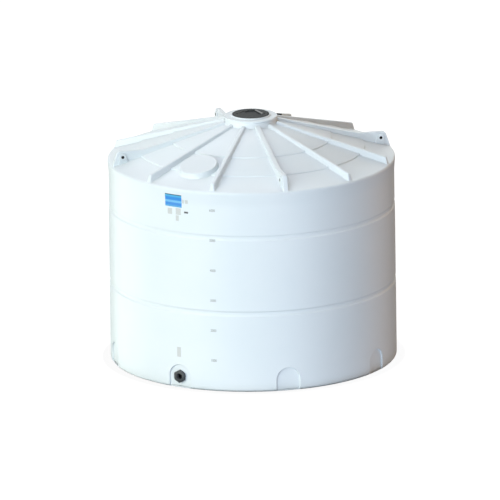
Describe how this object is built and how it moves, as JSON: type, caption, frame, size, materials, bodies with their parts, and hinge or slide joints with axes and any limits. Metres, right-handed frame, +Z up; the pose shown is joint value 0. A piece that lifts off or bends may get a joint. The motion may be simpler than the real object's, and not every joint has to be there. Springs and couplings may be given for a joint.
{
  "type": "vertical storage tank",
  "caption": "Upright round moulded plastic liquid storage tank with a ribbed cone roof, tie-down lugs, screw-in manway lid, wall flats at the foot and a low outlet fitting.",
  "frame": {"origin": "centre of the flat base, on the ground", "axes": "+Z up along the tank's axis; -Y is the front, through the outlet fitting; +X to the right seen from the front"},
  "size_m": [3.588, 3.5966, 3.122],
  "materials": {
    "white_shell": "satin moulded polyethylene",
    "black_fitting": "satin moulded polypropylene",
    "black_gasket": "matt"
  },
  "bodies": {
    "tank": {"tank_floor": "white_shell", "lower_wall_1": "white_shell", "lower_wall_2": "white_shell", "lower_wall_3": "white_shell", "lower_wall_4": "white_shell", "lower_wall_5": "white_shell", "lower_wall_6": "white_shell", "lower_wall_7": "white_shell", "lower_wall_8": "white_shell", "middle_wall_front": "white_shell", "middle_wall_right": "white_shell", "middle_wall_back": "white_shell", "middle_wall_left": "white_shell", "upper_wall_front": "white_shell", "upper_wall_right": "white_shell", "upper_wall_back": "white_shell", "upper_wall_left": "white_shell", "roof_front": "white_shell", "roof_right": "white_shell", "roof_back": "white_shell", "roof_left": "white_shell", "roof_rib_1": "white_shell", "roof_rib_2": "white_shell", "roof_rib_3": "white_shell", "roof_rib_4": "white_shell", "roof_rib_5": "white_shell", "roof_rib_6": "white_shell", "roof_rib_7": "white_shell", "roof_rib_8": "white_shell", "roof_rib_9": "white_shell", "roof_rib_10": "white_shell", "roof_rib_11": "white_shell", "roof_rib_12": "white_shell", "tie_down_lug_1": "white_shell", "tie_down_lug_2": "white_shell", "tie_down_lug_3": "white_shell", "tie_down_lug_4": "white_shell", "crown_collar": "white_shell", "roof_pad": "white_shell", "rear_vent": "black_fitting", "outlet_gasket": "black_gasket", "outlet_fitting": "black_fitting", "outlet_nut": "black_fitting"},
    "lid": {"manway_lid": "black_fitting", "lid_vent": "black_fitting"}
  },
  "joints": [
    {"name": "lid_lift", "type": "slide", "parent": "tank", "child": "lid", "axis": [0, 0, 1], "range_m": [0, 0.35]}
  ]
}
